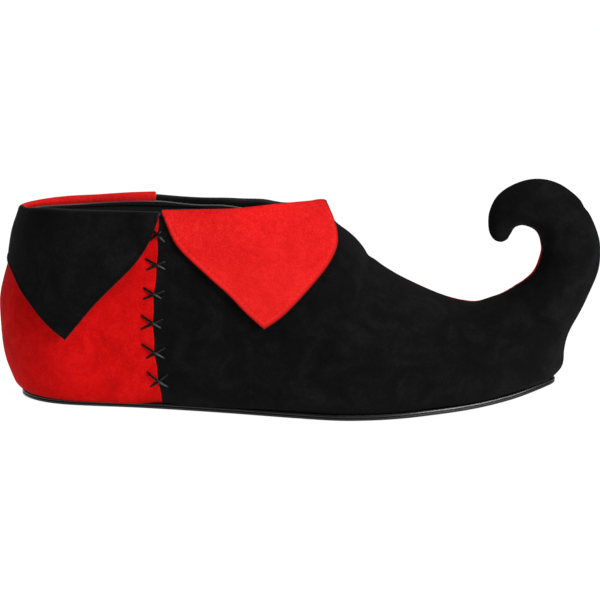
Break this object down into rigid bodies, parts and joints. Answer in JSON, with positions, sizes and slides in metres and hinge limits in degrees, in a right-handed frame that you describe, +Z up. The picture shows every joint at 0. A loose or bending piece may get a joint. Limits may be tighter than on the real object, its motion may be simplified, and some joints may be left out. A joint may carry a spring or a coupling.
{
  "type": "jester shoe",
  "caption": "Right jester shoe with a curled toe: red and black suede upper with pointed lapels and cross-laced side seams on a thin rubber sole.",
  "frame": {"origin": "on the floor under the middle of the shoe's box", "axes": "+X from the heel towards the toe, +Y towards the inner (medial) side, +Z up"},
  "size_m": [0.3224, 0.104, 0.127],
  "materials": {
    "black_rubber": "satin moulded edge",
    "insole_board": "matte",
    "black_suede": "matte nap",
    "red_suede": "matte nap",
    "waxed_thong": "waxed, slight sheen"
  },
  "bodies": {
    "root": {"outsole": "black_rubber", "insole": "insole_board", "upper": "black_suede", "lapel_lateral_rear": "black_suede", "lapel_lateral_front": "red_suede", "lapel_medial_rear": "red_suede", "lapel_medial_front": "black_suede", "cross_stitch_lateral_1": "waxed_thong", "cross_stitch_lateral_2": "waxed_thong", "cross_stitch_lateral_3": "waxed_thong", "cross_stitch_lateral_4": "waxed_thong", "cross_stitch_lateral_5": "waxed_thong", "cross_stitch_lateral_6": "waxed_thong", "cross_stitch_medial_1": "waxed_thong", "cross_stitch_medial_2": "waxed_thong", "cross_stitch_medial_3": "waxed_thong", "cross_stitch_medial_4": "waxed_thong", "cross_stitch_medial_5": "waxed_thong", "cross_stitch_medial_6": "waxed_thong"}
  },
  "joints": []
}
